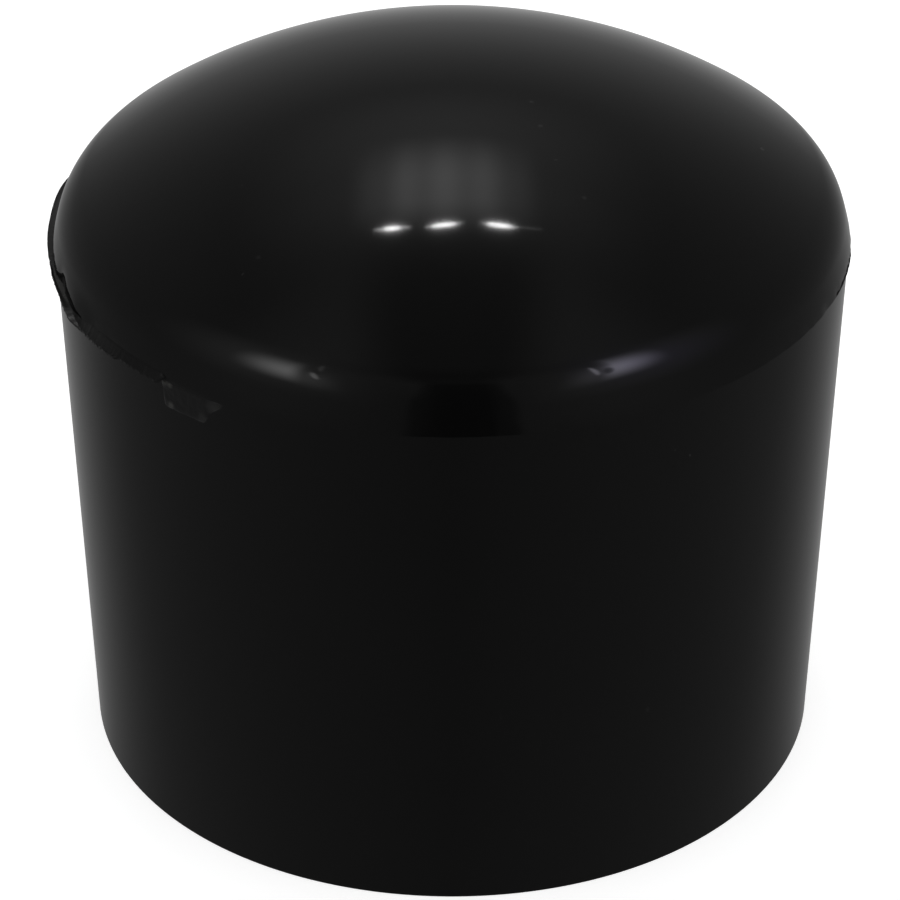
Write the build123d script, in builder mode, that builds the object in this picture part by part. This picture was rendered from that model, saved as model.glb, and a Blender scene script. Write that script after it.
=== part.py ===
from build123d import *
from math import acos, cos, degrees, radians, sin, sqrt, tan
import os

# Domed end cap for a round tube, moulded in one piece. The cap stands on its open mouth: Z = 0 is the
# plane of the rim, and +Z runs up the bore's axis to the crown. +X is to the right and -Y to the front.
# Lengths are in millimetres and angles in degrees. A direction is an angle round the axis from +X.

os.makedirs("parts", exist_ok=True)


# Driving dimensions -------------------------------------------------------------------------------

# The tube that the cap closes. The bore is smaller than the tube and holds it by its own stretch.
tube_diameter = 42.4
tube_wall = 2.6
grip = 0.1  # on the radius

# Skirt: the wall that slips over the tube. It narrows to the rim, so that it leaves its mould.
skirt_height = 34.4  # from the rim to the parting line
skirt_draft = 2.2
rim_wall = 2.4
lead_in = 0.8  # bevel round the mouth that guides the tube in

# Dome: three arcs, each running on from the one before it until the surface's normal has risen to the
# given slope. The first starts at the parting line with a lean of its own, so an edge shows there.
foot_slope = 12.0
shoulder_radius = 24.0
shoulder_slope = 16.0
knee_radius = 4.0
knee_slope = 54.0

# Core side of the dome: a ledge stops the tube's end, and the crown is hollowed to an even wall.
stop_rise = 0.8  # from the parting line up to the ledge
crown_wall = 3.0
ceiling_bevel = 1.0

# The two mould halves don't quite match, so the dome's foot stands a little proud of the skirt, and
# more to the right than to the left.
dome_overhang = 0.1
mould_shift = 0.04

# Flash: a thin fin that has crept out of the parting line, round the left side.
flash_reach = 0.65
flash_thickness = 0.3
flash_start = 156.0
flash_end = 225.0

# Gate mark: the pad left where the sprue was cut off, under the parting line.
gate_direction = 231.0
gate_width = 4.9  # along its upper edge, which is the longer one
gate_height = 1.8
gate_left_slant = 80.0
gate_right_slant = 56.0
gate_gap = 0.4  # from the parting line down to the upper edge
gate_proud = 0.25
gate_root = 1.5  # how deep the pad is rooted in the wall


# Sizes that follow --------------------------------------------------------------------------------

bore_radius = tube_diameter / 2 - grip
bore_depth = skirt_height + stop_rise
rim_radius = bore_radius + rim_wall
parting_radius = rim_radius + skirt_height * tan(radians(skirt_draft))

foot_radius = parting_radius + dome_overhang
foot_lean = (-sin(radians(foot_slope)), cos(radians(foot_slope)))
dome_plane = Plane(origin=(mould_shift, 0, skirt_height), x_dir=(1, 0, 0), z_dir=(0, -1, 0))

gate_outwards = Vector(1, 0, 0).rotate(Axis.Z, gate_direction)
gate_level = skirt_height - gate_gap - gate_height / 2
gate_plane = Plane(
    origin=gate_outwards * (parting_radius - gate_root) + Vector(0, 0, gate_level),
    x_dir=Vector(0, 0, 1).cross(gate_outwards),
    z_dir=gate_outwards,
)


with BuildPart() as end_cap:
    # Skirt, still solid
    with BuildSketch(Plane.XZ):
        with BuildLine():
            Polyline((0, 0), (rim_radius, 0), (parting_radius, skirt_height), (0, skirt_height), close=True)
        make_face()
    revolve(axis=Axis.Z)

    # Dome: the crown is centred on the axis, so where the knee ends settles its radius
    with BuildSketch(dome_plane):
        with BuildLine():
            shoulder = JernArc((foot_radius, 0), foot_lean, shoulder_radius, shoulder_slope - foot_slope)
            knee = JernArc(shoulder @ 1, shoulder % 1, knee_radius, knee_slope - shoulder_slope)
            crown_radius = (knee @ 1).X / cos(radians(knee_slope))
            crown_centre = (knee @ 1).Y - crown_radius * sin(radians(knee_slope))
            crown = CenterArc((0, crown_centre), crown_radius, knee_slope, 90 - knee_slope)
            Polyline(crown @ 1, (0, 0), (foot_radius, 0))
        make_face()
    revolve(axis=Axis(origin=dome_plane.origin, direction=(0, 0, 1)))

    # Flash fin
    with BuildSketch(Plane.XY.offset(skirt_height - flash_thickness)):
        SlotArc(CenterArc((0, 0), parting_radius, flash_start, flash_end - flash_start), 2 * flash_reach)
    extrude(amount=flash_thickness)

    # Gate mark, its longer edge turned up
    with BuildSketch(gate_plane):
        Trapezoid(gate_width, gate_height, gate_right_slant, gate_left_slant, rotation=180)
    extrude(amount=gate_root + gate_proud)

    # Core: the bore and its lead-in, the ledge, level with the tube's inside, and the hollow crown
    hollow_radius = tube_diameter / 2 - tube_wall
    ceiling_radius = crown_radius - crown_wall
    ceiling_centre = skirt_height + crown_centre
    ceiling_slope = degrees(acos(hollow_radius / ceiling_radius))
    ceiling_edge = ceiling_centre + sqrt(ceiling_radius**2 - hollow_radius**2)
    with BuildSketch(Plane.XZ) as core:
        with BuildLine():
            ceiling = CenterArc((0, ceiling_centre), ceiling_radius, ceiling_slope, 90 - ceiling_slope)
            Polyline(
                ceiling @ 1,
                (0, 0),
                (bore_radius + lead_in, 0),
                (bore_radius, lead_in),
                (bore_radius, bore_depth),
                (hollow_radius, bore_depth),
                ceiling @ 0,
            )
        make_face()
        ceiling_corner = core.vertices().sort_by_distance((hollow_radius, ceiling_edge))[0]
        chamfer(ceiling_corner, min(ceiling_bevel, (ceiling_edge - bore_depth) / 2))
    revolve(axis=Axis.Z, mode=Mode.SUBTRACT)

end_cap.part.label = "end_cap"
export_step(end_cap.part, "parts/end_cap.step")
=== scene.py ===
from math import acos, ceil, cos, degrees, pi, radians, sin, tan

import bpy
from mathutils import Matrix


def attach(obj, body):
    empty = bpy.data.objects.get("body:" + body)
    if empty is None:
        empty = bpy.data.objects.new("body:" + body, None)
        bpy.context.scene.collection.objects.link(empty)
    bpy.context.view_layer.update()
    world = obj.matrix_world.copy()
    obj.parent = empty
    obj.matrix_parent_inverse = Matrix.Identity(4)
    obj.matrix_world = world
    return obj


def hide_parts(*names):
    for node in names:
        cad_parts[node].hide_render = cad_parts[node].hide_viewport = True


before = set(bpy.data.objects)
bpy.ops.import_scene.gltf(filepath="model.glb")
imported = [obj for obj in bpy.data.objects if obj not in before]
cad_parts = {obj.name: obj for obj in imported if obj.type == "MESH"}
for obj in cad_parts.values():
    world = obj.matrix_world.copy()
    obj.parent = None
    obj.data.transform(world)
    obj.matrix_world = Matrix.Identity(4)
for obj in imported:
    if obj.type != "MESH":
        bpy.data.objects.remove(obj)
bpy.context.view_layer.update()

# Domed end cap for a round tube, standing on its mouth. The cap's lengths are in millimetres until a
# mesh is made, the room's are in metres, and angles are in degrees. A direction round the axis is
# counted from +X.
MM = 0.001

# The cap's sizes ----------------------------------------------------------------------------------

TUBE_DIAMETER = 42.4
TUBE_WALL = 2.6
GRIP = 0.1
SKIRT_HEIGHT = 34.4
SKIRT_DRAFT = 2.2
RIM_WALL = 2.4
LEAD_IN = 0.8
FOOT_SLOPE = 12.0
SHOULDER_RADIUS = 24.0
SHOULDER_SLOPE = 16.0
KNEE_RADIUS = 4.0
KNEE_SLOPE = 54.0
STOP_RISE = 0.8
CROWN_WALL = 3.0
CEILING_BEVEL = 1.0
DOME_OVERHANG = 0.1
MOULD_SHIFT = 0.04
FLASH_REACH = 0.65
FLASH_THICKNESS = 0.3
FLASH_START = 156.0
FLASH_END = 225.0
GATE_DIRECTION = 231.0
GATE_WIDTH = 4.9
GATE_HEIGHT = 1.8
GATE_LEFT_SLANT = 80.0
GATE_RIGHT_SLANT = 56.0
GATE_GAP = 0.4
GATE_PROUD = 0.25

BORE_RADIUS = TUBE_DIAMETER / 2 - GRIP
BORE_DEPTH = SKIRT_HEIGHT + STOP_RISE
HOLLOW_RADIUS = TUBE_DIAMETER / 2 - TUBE_WALL
RIM_RADIUS = BORE_RADIUS + RIM_WALL
PARTING_RADIUS = RIM_RADIUS + SKIRT_HEIGHT * tan(radians(SKIRT_DRAFT))
FOOT_RADIUS = PARTING_RADIUS + DOME_OVERHANG

# How closely the skin is stepped, and where it shows an edge.
STEPS_ROUND = 384
STEP_OF_SLOPE = 0.8  # along an arc
CREASE = 25.0

# What is torn or uneven on it. A pair is the stretch over which something changes, by direction, or
# the middle and half the width of a place. The hair is a second flash on the right, hardly past the
# dome's edge.
DOME_SWELL = 0.18  # how far the dome's foot is pushed out over the flash
SWOLLEN = (186, 36)
SWOLLEN_HEIGHT = 5.0
CHEWED_OUT = (204.5, 6)
CHEWED_IN = (196, 3)
CHEWED_HEIGHT = 1.2
FOOT_RAG = 0.35  # how deep the noise nibbles at the dome's foot
FOOT_RAG_HEIGHT = 0.5
FLASH_CUTS = (480, 17, 3)  # along, outwards and upwards
FLASH_ROOT = 0.35  # how deep the fin is rooted in the wall
FLASH_TAIL = 2.5  # how far round its last rag runs on
FLASH_RISES = (157, 164)
FLASH_WIDEST = (166, 11)
FLASH_NARROWS = (172, 190)
TORN_RISES = (190, 204)
TORN_DROPS = (204, 208)
TORN_BITE = (199, 6.3)
TORN_NICK = (188.3, 0.7)
TORN_STEP = (216.8, 217.8)
TORN_TAIL = (225.8, 227.5)
RAGGED_FROM = (180, 198)
GROOVE_STARTS = (188, 193)
GROOVE_ENDS = (200, 204)
SAG_ENDS = (186, 192)
HANGING_STARTS = (202, 208)
HANGING_ENDS = (226, 227.5)
HANGING_LIFTS = (210, 218)
COARSE_FROM = (184, 192)
# where the painted light on the hanging flash fades out
PAINTED_LIGHT_UNTIL = (210, 221)
HAIR_CUTS = (90, 3, 2)
HAIR_START = 337.5
HAIR_END = 356.5
HAIR_REACH = 0.02  # past the dome's edge
HAIR_RETREAT = -0.06  # the same at its two ends, where it dies away behind the edge
HAIR_TOP = 0.02  # above the parting line
HAIR_THICKNESS = 0.06
GATE_CUTS = (72, 2, 34)
GATE_ROOT = 0.8
GATE_EDGE = 0.28  # how far the pad's soft edge runs up the wall
GATE_SINK = 0.03  # how deep its rim lies under the wall's surface

# Shader and geometry nodes ------------------------------------------------------------------------


class Value:
    """A socket that takes part in sums."""

    def __init__(self, nodes, socket):
        self.nodes, self.socket = nodes, socket

    def maths(self, operation, *others):
        return self.nodes.add("ShaderNodeMath", {"operation": operation}, self, *others)

    def __add__(self, other):
        return self.maths("ADD", other)

    __radd__ = __add__

    def __sub__(self, other):
        return self.maths("SUBTRACT", other)

    def __rsub__(self, other):
        return self.nodes.add("ShaderNodeMath", {"operation": "SUBTRACT"}, other, self)

    def __mul__(self, other):
        return self.maths("MULTIPLY", other)

    def __truediv__(self, other):
        return self.maths("DIVIDE", other)

    def __neg__(self):
        return self * -1

    def __abs__(self):
        return self.maths("ABSOLUTE")


class Nodes:
    """Adds nodes to a tree. A node's values and links come in the order of its sockets, or by name."""

    def __init__(self, tree):
        self.tree = tree

    def add(self, kind, settings=None, *values, out=0, **named):
        node = self.tree.nodes.new(kind)
        for name, setting in (settings or {}).items():
            setattr(node, name, setting)
        for key, value in [*enumerate(values), *named.items()]:
            socket = node.inputs[key.replace("_", " ") if isinstance(key, str) else key]
            if isinstance(value, Value):
                self.tree.links.new(value.socket, socket)
            elif value is not None:
                socket.default_value = value
        return Value(self, node.outputs[out]) if node.outputs else node

    def ramp(self, value, low, high, start=0.0, end=1.0):
        """Runs softly from the start to the end while the value goes from low to high."""
        return self.add(
            "ShaderNodeMapRange",
            {"interpolation_type": "SMOOTHSTEP"},
            value, low, high, start, end,
        )

    def fall(self, value, low, high):
        """Runs softly from 1 to 0 while the value goes from low to high."""
        return self.ramp(value, low, high, 1.0, 0.0)

    def hump(self, value, centre, width):
        """1 at the centre, and softly down to 0 at the width on both sides."""
        return self.fall(abs(value - centre), 0.0, width)

    def parts(self, vector):
        """The three parts of a vector."""
        node = self.tree.nodes.new("ShaderNodeSeparateXYZ")
        self.tree.links.new(vector.socket, node.inputs[0])
        return [Value(self, socket) for socket in node.outputs]

    def blend(self, kind, share, first, second):
        """Goes from the first colour or vector to the second."""
        return self.add("ShaderNodeMix", {"data_type": kind}, Factor=share, A=first, B=second, out="Result")

    def vector(self, operation, *values):
        return self.add("ShaderNodeVectorMath", {"operation": operation}, *values)

    def distance(self, here, there):
        return self.add("ShaderNodeVectorMath", {"operation": "DISTANCE"}, here, there, out="Value")


# The light that the gloss sees --------------------------------------------------------------------

DAYLIGHT = 0.75  # what everything but the gloss is lit by
WHITE = (1, 1, 1, 1)
COOL_LAMP = (0.98, 0.94, 1.22, 1)
SIDE_LAMPS_MIDDLE = 2.2  # the two side lamps stand a little to the right of the front
BOX_MIDDLE = 0.5  # and the dark box in front a little more
CEILING_MIDDLE = -0.025  # of the lit panel, sideways, as a share of the ceiling's height
FLOOR_SIZE = 6
FLOOR_GREY = (0.8, 0.8, 0.8, 1)
FLOOR_GLOW = 0.62  # what brings the paper up to white
FLOOR_GAP = 0.02  # millimetres that keep the floor clear of the cap's rim

# The room as the gloss sees it. A turn is counted from the front and a rise from level, in degrees;
# across and away say where a ray meets the ceiling, as shares of the ceiling's height. A pair is a
# stretch over which the light changes, or the middle and half the width of a soft patch.
SIDE_LAMP_INNER_EDGE = (44.5, 50.5)
SIDE_LAMP_OUTER_FADE = (50, 70)
SIDE_LAMP_CORE_SPREAD = 19.2
SIDE_LAMP_DIM_PART = (31, 44)
SIDE_LAMP_DIM_SPREAD = 18.6
SIDE_LAMP_DIM_DROP = 4
SIDE_LAMP_HALO_TURN = (58, 43)
SIDE_LAMP_HALO_RISE = (32, 51)
COOL_TURN = (60, 36)
COOL_RISE = (34, 40)

UPPER_WALLS = (52, 76)
FRONT_WALL_TURN = (22, 124)
FRONT_WALL_TOP = (40, 80)
REAR_WALL_TURN = (180, 39.4)
REAR_WALL_TOP = (-4, 36)
GROUND_NEAREST = 4.4  # below level
GROUND_SPREAD = 1.96  # degrees of turn for each degree below that
GROUND_TURN = (110, 169)
GROUND_TOP = (-8, 2)

PANEL_SIDES = (0.037, 0.291)
PANEL_NEAR_END = (0.26, 0.454)
PANEL_FAR_END = (0.542, 0.893)
SPILL_ACROSS = (0, 0.74)
SPILL_NEAR_END = (0.16, 0.554)
SPILL_FAR_END = (0.7, 1.6)
LOBE_MIDDLE = 0.004
LOBE_SPACING = 0.114
LOBE_DEPTH = 0.16
CEILING_FROM = 0.3  # the sine of the lowest rise at which the ceiling shows

BOX_SIDES = (12, 16.5)
BOX_CORE_SIDES = (6, 11)
BOX_TAPER = (10, 28)  # it narrows upwards over this rise
BOX_FOOT = (-14, -6)
BOX_TOP = (40, 50)
STRIP_SIDES = (0.12, 0.36)
STRIP_END = (0.05, 0.386)
STRIP_FOOT = (38, 50)


def side_light(nodes, off, rise, slant, height, level):
    """A soft lamp at the side: a bright core with an inner edge, a dim part inside that and a halo."""
    off = off - (rise - height) * slant
    outside = nodes.ramp(off, *SIDE_LAMP_INNER_EDGE)
    core = outside * nodes.fall(off, *SIDE_LAMP_OUTER_FADE) * nodes.hump(rise, height, SIDE_LAMP_CORE_SPREAD)
    dim = nodes.ramp(off, *SIDE_LAMP_DIM_PART) * (1 - outside)
    dim = dim * nodes.hump(rise, height - SIDE_LAMP_DIM_DROP, SIDE_LAMP_DIM_SPREAD)
    halo = nodes.hump(off, *SIDE_LAMP_HALO_TURN) * nodes.hump(rise, *SIDE_LAMP_HALO_RISE)
    return core * level + dim * 0.3 + halo * 0.17


def spot(nodes, off, rise, lean, width, height):
    """A small oval beside a lamp, leaning over by some degrees for each degree of height."""
    side = (off - rise * lean) / width
    up = rise / height
    return nodes.fall(side * side + up * up, 0.1, 1.6)


def right_lamp(nodes, turn, rise):
    """The cool lamp on the right, with two dark brackets and a bright fitting at its inner end."""
    lamp = side_light(nodes, turn + 0.9, rise, slant=0.338, height=37.4, level=2.27)
    lamp = lamp * (1 - spot(nodes, turn - 46.4, rise - 36, lean=0.3, width=1.8, height=5) * 0.75)
    lamp = lamp * (1 - spot(nodes, turn - 50, rise - 47, lean=0.3, width=2.2, height=6) * 0.35)
    return lamp + spot(nodes, turn - 43.2, rise - 39.5, lean=0.2, width=0.9, height=7) * 2.0


def left_lamp(nodes, turn, rise):
    """The lamp on the left, with a dark bracket and two bright fittings at its inner end."""
    lamp = side_light(nodes, turn - 2.5, rise, slant=0.25, height=32.2, level=1.75)
    lamp = lamp * (1 - spot(nodes, turn - 45, rise - 38, lean=0.44, width=1.4, height=6) * 0.45)
    lamp = lamp + spot(nodes, turn - 44.4, rise - 33.9, lean=0.44, width=1.2, height=4.6) * 1.3
    return lamp + spot(nodes, turn - 47.8, rise - 47.2, lean=0.44, width=0.9, height=5) * 0.35


def plain_room(nodes, y, rise, off_front):
    """The walls, paler to the rear and overhead, and what the ground throws back from there."""
    walls = 0.066 + y * 0.108 + y * y * 0.01 + nodes.ramp(rise, *UPPER_WALLS) * 0.088
    front = nodes.hump(off_front, *FRONT_WALL_TURN) * nodes.fall(rise, *FRONT_WALL_TOP)
    rear = nodes.hump(off_front, *REAR_WALL_TURN) * nodes.fall(rise, *REAR_WALL_TOP)
    under = (rise * -1 - GROUND_NEAREST).maths("MAXIMUM", 0)
    ground = nodes.ramp(off_front + under * GROUND_SPREAD, *GROUND_TURN) * nodes.fall(rise, *GROUND_TOP)
    return walls + front * 0.13 + rear * 0.096 + ground * 0.146


def ceiling_light(nodes, across, away):
    """The lit panel over the rear, with three soft lobes, and its spill."""
    lobes = 1 + ((across - LOBE_MIDDLE) * (2 * pi / LOBE_SPACING)).maths("COSINE") * LOBE_DEPTH
    panel = nodes.fall(abs(across), *PANEL_SIDES) * lobes
    panel = panel * nodes.ramp(away, *PANEL_NEAR_END) * nodes.fall(away, *PANEL_FAR_END)
    spill = nodes.ramp(away, *SPILL_NEAR_END) * nodes.fall(away, *SPILL_FAR_END)
    return panel * 0.685 + nodes.hump(across, *SPILL_ACROSS) * spill * 0.192


def shadows(nodes, off_front, rise, across, away):
    """What stands in the light's way: a box in front and a dark strip overhead."""
    edge = off_front + nodes.ramp(rise, *BOX_TAPER, 0.0, 2.0)
    box = nodes.fall(edge, *BOX_SIDES) * 0.46 + nodes.fall(off_front, *BOX_CORE_SIDES) * 0.22
    box = box * nodes.fall(rise, *BOX_TOP) * nodes.ramp(rise, *BOX_FOOT)
    strip = nodes.fall(abs(across), *STRIP_SIDES) * nodes.fall(away, *STRIP_END)
    strip = strip * nodes.ramp(rise, *STRIP_FOOT) * 0.42
    return (1 - box) * (1 - strip)


def room_light(nodes, direction):
    """Brightness and coolness of the room by direction: 0 degrees is the front and 180 the rear."""
    x, y, z = nodes.parts(direction)
    turn = x.maths("ARCTAN2", -y) * (180 / pi)
    rise = z.maths("ARCSINE") * (180 / pi)
    height = z.maths("MAXIMUM", 0.1)
    across, away = x / height, y / height
    overhead = z.maths("GREATER_THAN", CEILING_FROM)
    room = plain_room(nodes, y, rise, abs(turn))
    room = room + ceiling_light(nodes, across - CEILING_MIDDLE, away) * overhead
    turn = turn - SIDE_LAMPS_MIDDLE
    light = room + left_lamp(nodes, -turn, rise) + right_lamp(nodes, turn, rise)
    light = light * shadows(nodes, abs(turn - BOX_MIDDLE), rise, across, away)
    return light, nodes.hump(turn, *COOL_TURN) * nodes.hump(rise, *COOL_RISE)


def kinds_of_ray(nodes):
    """Whether the camera sees the surface, and whether a gloss or a clear piece does."""
    path = nodes.tree.nodes.new("ShaderNodeLightPath")
    camera = Value(nodes, path.outputs["Is Camera Ray"])
    glossy = Value(nodes, path.outputs["Is Glossy Ray"])
    return camera, glossy.maths("MAXIMUM", Value(nodes, path.outputs["Is Transmission Ray"]))


def make_world():
    """White to the camera, the room to the gloss, and plain daylight to everything else."""
    world = bpy.data.worlds.new("studio")
    bpy.context.scene.world = world
    world.use_nodes = True
    world.node_tree.nodes.clear()
    nodes = Nodes(world.node_tree)
    direction = nodes.add("ShaderNodeTexCoord", out="Generated")
    camera, gloss = kinds_of_ray(nodes)
    plain = 1 - camera.maths("MAXIMUM", gloss)
    room, cool = room_light(nodes, direction)
    colour = nodes.blend("RGBA", gloss * cool, WHITE, COOL_LAMP)
    light = nodes.add("ShaderNodeBackground", {}, colour, camera + gloss * room + plain * DAYLIGHT)
    nodes.add("ShaderNodeOutputWorld", {}, light)


def floor_paper():
    """Pale paper, white to the camera outside the cap's shadow, lit like the room in the gloss, and
    clear from below."""
    paper = bpy.data.materials.new("pale_paper")
    paper.use_nodes = True
    paper.node_tree.nodes.clear()
    nodes = Nodes(paper.node_tree)
    camera, gloss = kinds_of_ray(nodes)
    place = nodes.add("ShaderNodeTexCoord", out="Object")
    direction = nodes.vector("NORMALIZE", nodes.vector("SUBTRACT", place, (0, 0, SKIRT_HEIGHT / 2 * MM)))
    matt = nodes.add("ShaderNodeBsdfDiffuse", {}, FLOOR_GREY)
    shine = nodes.add("ShaderNodeEmission", {}, WHITE, camera * FLOOR_GLOW)
    seen = nodes.add("ShaderNodeAddShader", {}, matt, shine)
    mirrored = nodes.add("ShaderNodeEmission", {}, WHITE, room_light(nodes, direction)[0])
    above = nodes.add("ShaderNodeMixShader", {}, gloss, seen, mirrored)
    below = nodes.add("ShaderNodeNewGeometry", out="Backfacing")
    sheet = nodes.add("ShaderNodeMixShader", {}, below, above, nodes.add("ShaderNodeBsdfTransparent"))
    nodes.add("ShaderNodeOutputMaterial", {}, sheet)
    return paper


def make_floor():
    """One wide sheet that reaches past the camera's view."""
    bpy.ops.mesh.primitive_plane_add(size=FLOOR_SIZE, location=(0, 0, -FLOOR_GAP * MM))
    floor = bpy.context.object
    floor.name = "floor"
    floor.data.materials.append(floor_paper())


# Lamps over the rear ------------------------------------------------------------------------------

REAR_LAMP_HEIGHT = 0.993
REAR_LAMP_LENGTH = 0.1
REAR_LAMP_WIDTH = 0.006
REAR_LAMP_RADIANCE = 17
BRIGHT_MIDDLE_WIDTH = 0.015
BRIGHT_MIDDLE_RADIANCE = 46


def lamp(name, x, y, length, width, angle, radiance):
    """A lamp that hangs level over the rear; its power follows from how bright it should look."""
    data = bpy.data.lights.new(name, "AREA")
    data.shape = "ELLIPSE"
    data.size, data.size_y = length, width
    data.energy = radiance * pi * pi / 4 * length * width
    thing = bpy.data.objects.new(name, data)
    thing.location = (x, y, REAR_LAMP_HEIGHT)
    thing.rotation_euler = (0, 0, radians(angle))
    bpy.context.collection.objects.link(thing)


def long_lamp(name, x, y, angle, middle):
    """A long lamp, thin and dim towards its ends and bright over a middle of the given length."""
    lamp(name, x, y, REAR_LAMP_LENGTH, REAR_LAMP_WIDTH, angle, REAR_LAMP_RADIANCE)
    lamp(name + "_middle", x, y, middle, BRIGHT_MIDDLE_WIDTH, angle, BRIGHT_MIDDLE_RADIANCE)


def make_lamps():
    """Three in a row that runs from left to right, and the thin glint beside the last of them."""
    long_lamp("lamp_left", -0.16, 0.284, angle=-4, middle=0.054)
    long_lamp("lamp_middle", -0.023, 0.282, angle=10, middle=0.072)
    long_lamp("lamp_right", 0.122, 0.291, angle=-2.5, middle=0.074)
    lamp("lamp_right_tail", 0.195, 0.295, length=0.09, width=0.003, angle=6, radiance=2)


# The cap's outline --------------------------------------------------------------------------------


def arc(centre, radius, start, end):
    """Points between two slopes of the arc's normal."""
    steps = ceil(abs(end - start) / STEP_OF_SLOPE)
    slopes = [radians(start + (end - start) * i / steps) for i in range(steps + 1)]
    return [(centre[0] + radius * cos(a), centre[1] + radius * sin(a)) for a in slopes]


def dome_arcs():
    """The centres of the dome's three arcs, from the parting line up, and the crown's radius."""
    foot, shoulder_end, knee_end = (radians(a) for a in (FOOT_SLOPE, SHOULDER_SLOPE, KNEE_SLOPE))
    shoulder = (FOOT_RADIUS - SHOULDER_RADIUS * cos(foot), SKIRT_HEIGHT - SHOULDER_RADIUS * sin(foot))
    reach = SHOULDER_RADIUS - KNEE_RADIUS
    knee = (shoulder[0] + reach * cos(shoulder_end), shoulder[1] + reach * sin(shoulder_end))
    crown_radius = KNEE_RADIUS + knee[0] / cos(knee_end)
    crown = (0, knee[1] - knee[0] * tan(knee_end))
    return shoulder, knee, crown, crown_radius


def section():
    """The wall's outline on one side of the axis: radius, height, dome's half (or not), inside (or not)."""
    shoulder, knee, crown, crown_radius = dome_arcs()
    ceiling_radius = crown_radius - CROWN_WALL
    ceiling_slope = degrees(acos(HOLLOW_RADIUS / ceiling_radius))
    edge = arc(crown, ceiling_radius, ceiling_slope, 90)[0]
    bevel = min(CEILING_BEVEL, (edge[1] - BORE_DEPTH) / 2)
    bevel_slope = ceiling_slope + degrees(bevel / ceiling_radius)
    dome = arc(crown, crown_radius, 90, KNEE_SLOPE)
    dome += arc(knee, KNEE_RADIUS, KNEE_SLOPE, SHOULDER_SLOPE)[1:]
    dome += arc(shoulder, SHOULDER_RADIUS, SHOULDER_SLOPE, FOOT_SLOPE)[1:]
    skirt = [(PARTING_RADIUS, SKIRT_HEIGHT), (RIM_RADIUS, 0)]
    inside = [
        (BORE_RADIUS + LEAD_IN, 0),
        (BORE_RADIUS, LEAD_IN),
        (BORE_RADIUS, BORE_DEPTH),
        (HOLLOW_RADIUS, BORE_DEPTH),
        (HOLLOW_RADIUS, edge[1] - bevel),
    ]
    inside += arc(crown, ceiling_radius, bevel_slope, 90)
    return [(*p, 1, 0) for p in dome] + [(*p, 0, 0) for p in skirt] + [(*p, 0, 1) for p in inside]


def section_mesh():
    """The outline as a string of edges in the XZ plane, in millimetres."""
    points = section()
    mesh = bpy.data.meshes.new("section")
    mesh.from_pydata([(r, 0, z) for r, z, _, _ in points], [(i, i + 1) for i in range(len(points) - 1)], [])
    for name, column in (("dome_half", 2), ("inside", 3)):
        flags = mesh.attributes.new(name, "FLOAT", "POINT")
        for i, point in enumerate(points):
            flags.data[i].value = point[column]
    return mesh


# The cap's skin, flash and gate mark --------------------------------------------------------------


def turned(nodes, point, direction):
    """Turns a point about the axis."""
    angle = direction * (pi / 180)
    return nodes.add("ShaderNodeVectorRotate", {"rotation_type": "Z_AXIS"}, Vector=point, Angle=angle)


def placed(nodes, piece, place):
    """Moves a piece's points to a place that is given in millimetres."""
    metres = nodes.vector("MULTIPLY", place, (MM, MM, MM))
    return nodes.add("GeometryNodeSetPosition", {}, piece, None, metres)


def marked(nodes, piece, name, value):
    """Keeps a value with each of a piece's points, for its material."""
    return nodes.add("GeometryNodeStoreNamedAttribute", {"data_type": "FLOAT"}, piece, None, name, value)


def ragged(nodes, value, fineness, seed, amount):
    """A rough line about 0, drawn along the value."""
    line = {"W": value + seed, "Scale": fineness, "Detail": 4.0, "Roughness": 0.7}
    rough = nodes.add("ShaderNodeTexNoise", {"noise_dimensions": "1D"}, **line)
    return (rough - 0.5) * amount


def foot_swell(nodes, size, direction, z):
    """How far the dome's foot stands out: pushed out over the flash, chewed there and nibbled all round."""

    def up_to(height):
        return nodes.fall(z, SKIRT_HEIGHT, SKIRT_HEIGHT + height)

    swell = nodes.hump(direction, *SWOLLEN) * size["Dome swell"] * up_to(SWOLLEN_HEIGHT)
    chewed = nodes.hump(direction, *CHEWED_OUT) * 0.2 - nodes.hump(direction, *CHEWED_IN) * 0.15
    foot = turned(nodes, (FOOT_RADIUS, 0, 0), direction)
    uneven = abs(nodes.add("ShaderNodeTexNoise", {}, Vector=foot, Scale=0.9, Detail=2.0) - 0.5)
    return swell + chewed * up_to(CHEWED_HEIGHT) - uneven * FOOT_RAG * up_to(FOOT_RAG_HEIGHT)


def turned_skin(nodes, outline, size):
    """Turns the outline about the axis into a closed skin. The dome's half of the mould is a little off."""
    rows = nodes.add("GeometryNodeAttributeDomainSize", {}, outline)
    columns = size["Steps round"] + 1
    skin = nodes.add("GeometryNodeMeshGrid", {}, 1.0, 1.0, rows, columns)
    index = nodes.add("GeometryNodeInputIndex")
    row = (index / columns).maths("FLOOR")
    column = index.maths("MODULO", columns)

    def along_outline(kind, value):
        return nodes.add("GeometryNodeSampleIndex", {"data_type": kind}, outline, value, row)

    def flag(name):
        mark = nodes.add("GeometryNodeInputNamedAttribute", {"data_type": "FLOAT"}, name)
        return along_outline("FLOAT", mark)

    r, _, z = nodes.parts(along_outline("FLOAT_VECTOR", nodes.add("GeometryNodeInputPosition")))
    dome_half = flag("dome_half")
    direction = column / size["Steps round"] * 360
    radius = r + foot_swell(nodes, size, direction, z) * dome_half
    point = nodes.add("ShaderNodeCombineXYZ", {}, radius, 0.0, z)
    off_centre = nodes.add("ShaderNodeCombineXYZ", {}, dome_half * size["Mould shift"])
    place = turned(nodes, point, direction)
    skin = marked(nodes, skin, "inner", flag("inside"))
    skin = placed(nodes, skin, nodes.vector("ADD", place, off_centre))
    skin = nodes.add("GeometryNodeMergeByDistance", {}, skin, Distance=0.2e-6)
    return nodes.add("GeometryNodeFlipFaces", {}, skin)


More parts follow.
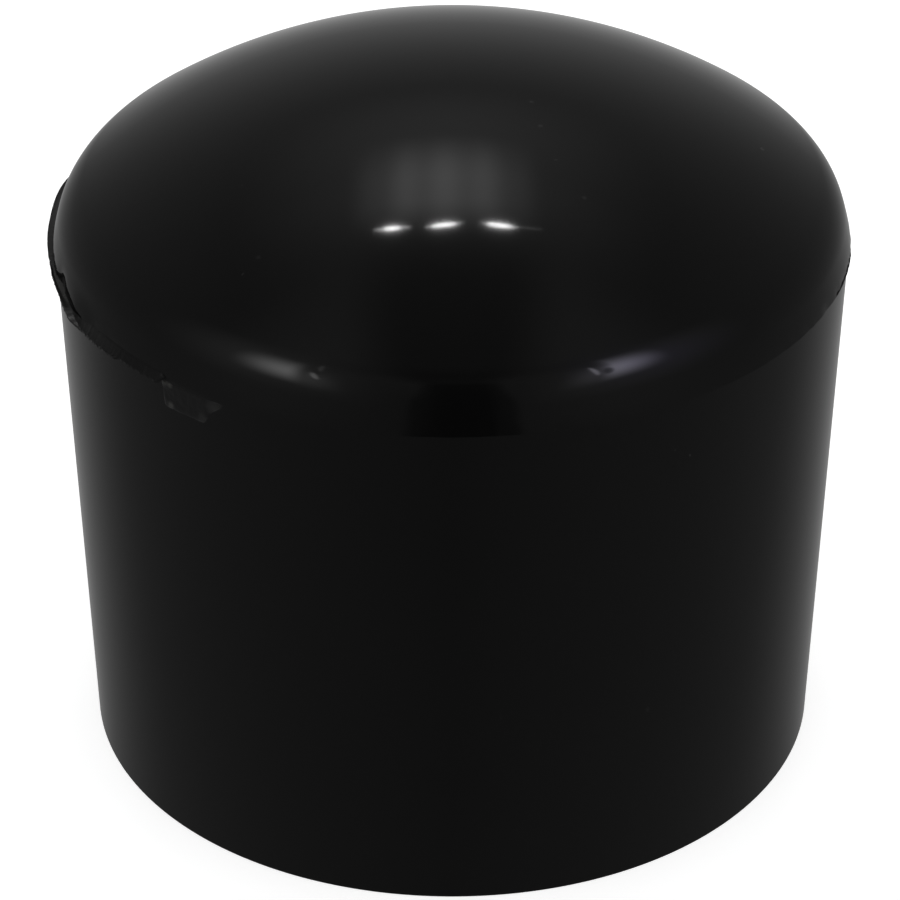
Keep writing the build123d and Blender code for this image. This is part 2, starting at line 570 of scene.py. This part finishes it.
def block(nodes, cuts):
    """A closed block that is to be bent to shape, with each point's shares along, outwards and upwards."""
    piece = nodes.add("GeometryNodeMeshCube", {}, (1, 1, 1), *cuts)
    x, y, z = nodes.parts(nodes.add("GeometryNodeInputPosition"))
    return piece, x + 0.5, 0.5 - y, z + 0.5


def flash_reach(nodes, size, direction):
    """How far the fin stands out of the parting line, by direction. It is widest soon after its start
    and again where it is torn, and from there it steps back to its tail."""
    even = nodes.ramp(direction, *FLASH_RISES) * 0.98 + nodes.hump(direction, *FLASH_WIDEST) * 0.37
    even = even - nodes.ramp(direction, *FLASH_NARROWS) * 0.28
    torn = nodes.ramp(direction, *TORN_RISES) * 0.6 - nodes.ramp(direction, *TORN_DROPS) * 0.5
    torn = torn - nodes.hump(direction, *TORN_BITE) * 0.19 - nodes.hump(direction, *TORN_NICK) * 0.05
    torn = torn - nodes.ramp(direction, *TORN_STEP) * 0.2 - nodes.ramp(direction, *TORN_TAIL) * 0.6
    rough = ragged(nodes, direction, fineness=0.9, seed=7.0, amount=0.22)
    rough = rough + ragged(nodes, direction, fineness=0.2, seed=31.0, amount=0.12)
    return size["Flash reach"] * (even + torn + rough * nodes.ramp(direction, *RAGGED_FROM, 0.15, 1.0))


def flash_fin(nodes, size):
    """The fin that has crept out of the parting line: flat, then grooved with a lip, then hanging."""
    piece, along, out, up = block(nodes, FLASH_CUTS)
    direction = size["Flash start"] + (size["Flash end"] + FLASH_TAIL - size["Flash start"]) * along
    grooved = nodes.ramp(direction, *GROOVE_STARTS) * nodes.fall(direction, *GROOVE_ENDS)
    hanging = nodes.ramp(direction, *HANGING_STARTS) * nodes.fall(direction, *HANGING_ENDS)

    radius = PARTING_RADIUS - FLASH_ROOT + out * (FLASH_ROOT + flash_reach(nodes, size, direction))
    outside = radius - PARTING_RADIUS
    bare = nodes.ramp(outside, 0.0, 0.12)
    lip = nodes.ramp(out, 0.82, 0.94) * 0.06 - nodes.hump(outside, 0.3, 0.42) * 0.12
    drop = 0.28 - nodes.ramp(outside, -0.05, 0.5) * nodes.ramp(direction, *HANGING_LIFTS, 0.72, 0.58)
    rough = ragged(nodes, direction, fineness=1.4, seed=51.0, amount=0.1)
    rough = rough * bare * nodes.ramp(direction, *COARSE_FROM, 0.1, 1.0)
    sag = nodes.ramp(outside, 0.0, 0.7) * nodes.fall(direction, *SAG_ENDS) * 0.14
    top = SKIRT_HEIGHT + grooved * lip + hanging * drop + rough - sag
    thickness = size["Flash thickness"] * (1 - nodes.ramp(out, 0.4, 1.0) * 0.6)
    place = nodes.add("ShaderNodeCombineXYZ", {}, radius, 0.0, top - thickness * (1 - up))

    coarse = (1 - hanging * 0.6) * nodes.ramp(direction, *COARSE_FROM, 0.25, 1.0)
    # Painted light: the grooved stretch, its lip and crevice, and the hanging part are painted paler than
    # the plastic is.
    fin_painted_light = grooved * 0.6 + hanging * nodes.fall(direction, *PAINTED_LIGHT_UNTIL) * 0.12
    piece = marked(nodes, piece, "torn", bare * coarse)
    piece = marked(nodes, piece, "whitening_and_painted_light", bare * fin_painted_light)
    return placed(nodes, piece, turned(nodes, place, direction))


def flash_hair(nodes, size):
    """A hair of flash on the far side of the mould, hardly past the dome's edge."""
    piece, along, out, up = block(nodes, HAIR_CUTS)
    direction = size["Hair start"] + (size["Hair end"] - size["Hair start"]) * along
    past_edge = nodes.ramp(abs(along - 0.5), 0.25, 0.5, size["Hair reach"], HAIR_RETREAT)
    rough = ragged(nodes, direction, fineness=1.3, seed=17.0, amount=0.08)
    reach = DOME_OVERHANG + MOULD_SHIFT + past_edge + rough
    radius = PARTING_RADIUS + out * (FLASH_ROOT + reach) - FLASH_ROOT
    height = SKIRT_HEIGHT + HAIR_TOP - (1 - up) * size["Hair thickness"]
    place = nodes.add("ShaderNodeCombineXYZ", {}, radius, 0.0, height)
    piece = marked(nodes, piece, "torn", out * 0.4)
    return placed(nodes, piece, turned(nodes, place, direction))


def gate_corners(nodes, on_face):
    """The torn corners of the gate's pad, left and right, by the place on its face; they raise it a little
    and carry painted glints.
    """

    def corner(x, y, width):
        return nodes.fall(nodes.distance(on_face, (x, y, 0)), 0.1 * width, width)

    left = corner(-1.9, -0.1, width=0.4) + corner(-1.45, 0, width=0.3) + corner(-1.47, 1.38, width=0.38)
    right = corner(2.1, 0.3, width=0.9) + corner(1.1, 1.4, width=0.6)
    return left, right


def gate_pad(nodes, size):
    """The low pad left where the sprue was cut off, melting into the wall, with torn corners."""
    piece, along, out, up = block(nodes, GATE_CUTS)
    down = (1 - up) * (size["Gate height"] + GATE_EDGE) - GATE_EDGE
    left = size["Gate width"] * -0.5 + down / tan(radians(GATE_LEFT_SLANT))
    right = size["Gate width"] * 0.5 - down / tan(radians(GATE_RIGHT_SLANT))
    right = right + nodes.fall(down, 0.0, 0.8) * 0.4
    across = left + (right - left) * along
    on_face = nodes.add("ShaderNodeCombineXYZ", {}, across, down, 0.0)

    left_corners, right_corners = gate_corners(nodes, on_face)
    rim = nodes.ramp(abs(along - 0.5), 0.4, 0.5) + nodes.ramp(abs(up - 0.5), 0.36, 0.5)
    lumps = nodes.add("ShaderNodeTexNoise", {}, Vector=on_face, Scale=1.4, Detail=4.0, Roughness=0.55) - 0.5
    proud = size["Gate proud"] * 0.2 + (left_corners + right_corners) * 0.03 + lumps * 0.1
    proud = proud * nodes.fall(rim, 0.0, 1.0) - GATE_SINK
    height = SKIRT_HEIGHT - GATE_GAP - down
    wall = PARTING_RADIUS - (SKIRT_HEIGHT - height) * tan(radians(SKIRT_DRAFT))
    surface = (wall * wall - across * across).maths("SQRT") + proud
    face = nodes.add("ShaderNodeCombineXYZ", {}, surface, across, height)
    back = nodes.add("ShaderNodeCombineXYZ", {}, surface - GATE_ROOT, across, height)
    place = nodes.blend("VECTOR", out, back, face)

    piece = marked(nodes, piece, "torn", 1 - rim)
    # The pad's face is a little paler, as whitened cut plastic; its corners carry painted glints on top of
    # that.
    piece = marked(nodes, piece, "whitening_and_painted_light", 0.09 + left_corners * 0.9 + right_corners * 0.3)
    return placed(nodes, piece, turned(nodes, place, GATE_DIRECTION))


def shaded(nodes, cap, crease):
    """Smooth, but for the edges that bend more than the crease."""
    bend = nodes.add("GeometryNodeInputMeshEdgeAngle")
    sharp = bend.maths("GREATER_THAN", crease * (pi / 180))
    cap = nodes.add("GeometryNodeSetShadeSmooth", {"domain": "FACE"}, cap, True, True)
    return nodes.add("GeometryNodeSetShadeSmooth", {"domain": "EDGE"}, cap, sharp, False)


def cap_tree(sizes, material):
    """The whole cap: its turned skin, the flash and the gate mark, from an outline and named sizes."""
    tree = bpy.data.node_groups.new("moulded_cap", "GeometryNodeTree")
    tree.interface.new_socket("Outline", in_out="INPUT", socket_type="NodeSocketGeometry")
    for name, size in sizes.items():
        kind = "NodeSocketInt" if isinstance(size, int) else "NodeSocketFloat"
        tree.interface.new_socket(name, in_out="INPUT", socket_type=kind)
    tree.interface.new_socket("Cap", in_out="OUTPUT", socket_type="NodeSocketGeometry")
    nodes = Nodes(tree)
    given = tree.nodes.new("NodeGroupInput")
    size = {name: Value(nodes, given.outputs[name]) for name in sizes}
    skin = turned_skin(nodes, Value(nodes, given.outputs[0]), size)
    joined = tree.nodes.new("GeometryNodeJoinGeometry")
    for piece in (skin, flash_fin(nodes, size), flash_hair(nodes, size), gate_pad(nodes, size)):
        tree.links.new(piece.socket, joined.inputs[0])
    cap = shaded(nodes, Value(nodes, joined.outputs[0]), size["Crease"])
    cap = nodes.add("GeometryNodeRealizeInstances", {}, cap)
    cap = nodes.add("GeometryNodeSetMaterial", {}, cap, None, material)
    tree.links.new(cap.socket, tree.nodes.new("NodeGroupOutput").inputs[0])
    return tree


def grown(thing, tree, sizes):
    """Runs a tree on an object and keeps the result as a plain mesh."""
    modifier = thing.modifiers.new(tree.name, "NODES")
    modifier.node_group = tree
    for socket in tree.interface.items_tree:
        if socket.in_out == "INPUT" and socket.name in sizes:
            modifier[socket.identifier] = sizes[socket.name]
    ready = thing.evaluated_get(bpy.context.evaluated_depsgraph_get())
    mesh = bpy.data.meshes.new_from_object(ready)
    thing.modifiers.remove(modifier)
    thing.data = mesh


# The cap's plastic --------------------------------------------------------------------------------

REFRACTION = 1.5
POLISH = 0.05  # the roughness of the moulded surface at its cleanest
SPECK_CORE = 0.08
SPECK_EDGE = 0.2


def specks(nodes, place):
    """The specks that have stuck to the skin, their places in millimetres."""

    def speck(x, y, z, level):
        off = nodes.distance(place, (x * MM, y * MM, z * MM))
        return nodes.fall(off, SPECK_CORE * MM, SPECK_EDGE * MM) * level

    return [
        speck(19.18, -0.96, 40.67, level=1.4),
        speck(5.33, -5.92, 44.85, level=0.5),
        speck(4.82, -3.47, 45.22, level=0.4),
        speck(7.87, -11.7, 43.05, level=0.35),
        speck(-11.45, -14.96, 40.79, level=0.2),
        speck(11.99, -20.75, 12.28, level=0.25),
    ]


def cap_plastic():
    """Glossy black polyethylene: polished outside, satin in the bore, rough where it is torn, and paler
    there with whitened plastic, painted glints and painted light.
    """
    material = bpy.data.materials.new("black_plastic")
    material.use_nodes = True
    material.node_tree.nodes.clear()
    nodes = Nodes(material.node_tree)
    place = nodes.add("ShaderNodeTexCoord", out="Object")
    torn = nodes.add("ShaderNodeAttribute", {"attribute_name": "torn"}, out="Fac")
    whitening_and_painted_light = nodes.add("ShaderNodeAttribute", {"attribute_name": "whitening_and_painted_light"}, out="Fac")
    inner = nodes.add("ShaderNodeAttribute", {"attribute_name": "inner"}, out="Fac")

    def noise(scale, detail, roughness=0.5):
        fineness = {"Scale": scale, "Detail": detail, "Roughness": roughness}
        return nodes.add("ShaderNodeTexNoise", {}, Vector=place, **fineness)

    cloudy = noise(90, 3)
    grain = noise(2600, 2)
    dust = sum(specks(nodes, place), nodes.ramp(noise(1500, 2, 0.6), 0.77, 0.83))
    shade = 0.0008 + cloudy * 0.0006 + dust * 0.02 + inner * 0.009
    # Paler in places: whitened cut plastic on the gate's face, painted glints at its corners and painted
    # light on the flash's lip, crevice and hanging part.
    shade = shade + whitening_and_painted_light * (0.012 + grain * 0.036)
    colour = nodes.add("ShaderNodeCombineColor", {}, shade, shade, shade * (1 - whitening_and_painted_light * 0.1))
    roughness = POLISH + cloudy * 0.02 + dust * 0.3 + torn * (0.22 + grain * 0.12) + inner * 0.3
    waves = noise(70, 1) * 0.02 + noise(420, 2) * 0.0012
    relief = waves + grain * (torn * 0.02 + inner * 0.004)
    bump = nodes.add("ShaderNodeBump", {}, Strength=1.0, Distance=MM, Height=relief)
    look = {"Base_Color": colour, "Roughness": roughness, "IOR": REFRACTION, "Normal": bump}
    nodes.add("ShaderNodeOutputMaterial", {}, nodes.add("ShaderNodeBsdfPrincipled", {}, **look))
    return material


def make_cap():
    """Grows the cap from its outline, by the sizes that its tree asks for."""
    sizes = {
        "Steps round": STEPS_ROUND,
        "Mould shift": MOULD_SHIFT,
        "Dome swell": DOME_SWELL,
        "Crease": CREASE,
        "Flash start": FLASH_START,
        "Flash end": FLASH_END,
        "Flash reach": FLASH_REACH,
        "Flash thickness": FLASH_THICKNESS,
        "Hair start": HAIR_START,
        "Hair end": HAIR_END,
        "Hair reach": HAIR_REACH,
        "Hair thickness": HAIR_THICKNESS,
        "Gate width": GATE_WIDTH,
        "Gate height": GATE_HEIGHT,
        "Gate proud": GATE_PROUD,
    }
    cap = bpy.data.objects.new("cap", section_mesh())
    bpy.context.collection.objects.link(cap)
    grown(cap, cap_tree(sizes, cap_plastic()), sizes)
    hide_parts("end_cap")
    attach(cap, "root")


# Camera -------------------------------------------------------------------------------------------

CAMERA_PLACE = (0, -0.2448, 0.1692)
CAMERA_TILT = 31.67  # below level
LENS = 178.0
SENSOR = 36
CAMERA_SHIFT = -0.0024


def make_camera():
    """A long lens from the front, looking down on the dome."""
    data = bpy.data.cameras.new("camera")
    data.sensor_width = SENSOR
    data.lens = LENS
    data.shift_x = CAMERA_SHIFT
    data.clip_start, data.clip_end = 0.01, 20
    camera = bpy.data.objects.new("camera", data)
    camera.location = CAMERA_PLACE
    camera.rotation_euler = (radians(90 - CAMERA_TILT), 0, 0)
    bpy.context.collection.objects.link(camera)
    bpy.context.scene.camera = camera


make_world()
make_floor()
make_lamps()
make_camera()
make_cap()
bpy.context.scene.view_settings.view_transform = "Standard"
